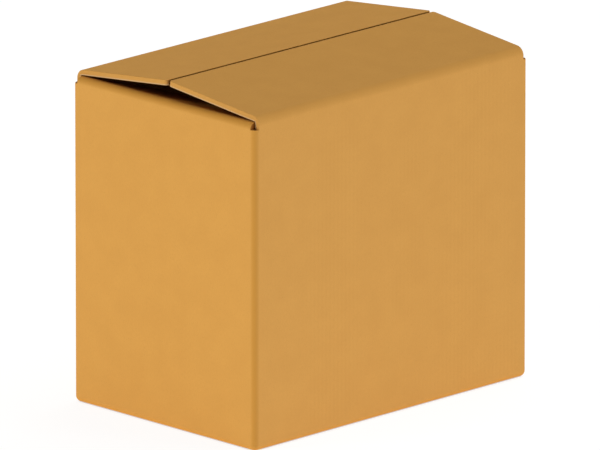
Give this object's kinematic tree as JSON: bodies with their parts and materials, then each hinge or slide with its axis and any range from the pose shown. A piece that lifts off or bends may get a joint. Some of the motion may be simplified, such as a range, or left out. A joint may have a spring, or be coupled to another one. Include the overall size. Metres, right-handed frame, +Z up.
{
  "type": "closed cardboard box",
  "caption": "Closed corrugated cardboard shipping carton whose long top flaps meet over the middle and fold out on their creases.",
  "frame": {"origin": "centre of the bottom, on the surface that the carton stands on", "axes": "+X along the length, +Y across the width, +Z up"},
  "size_m": [0.457, 0.305, 0.4222],
  "materials": {
    "kraft_board": "plain brown kraft liner, matt"
  },
  "bodies": {
    "box": {"carton": "kraft_board"},
    "near_flap": {"near_long_flap": "kraft_board"},
    "far_flap": {"far_long_flap": "kraft_board"}
  },
  "joints": [
    {"name": "near_flap_hinge", "type": "hinge", "parent": "box", "child": "near_flap", "pos_m": [0, -0.14969, 0.40383], "axis": [1, 0, 0], "range_deg": [-6, 174]},
    {"name": "far_flap_hinge", "type": "hinge", "parent": "box", "child": "far_flap", "pos_m": [0, 0.14969, 0.40383], "axis": [-1, 0, 0], "range_deg": [-6, 174]}
  ]
}
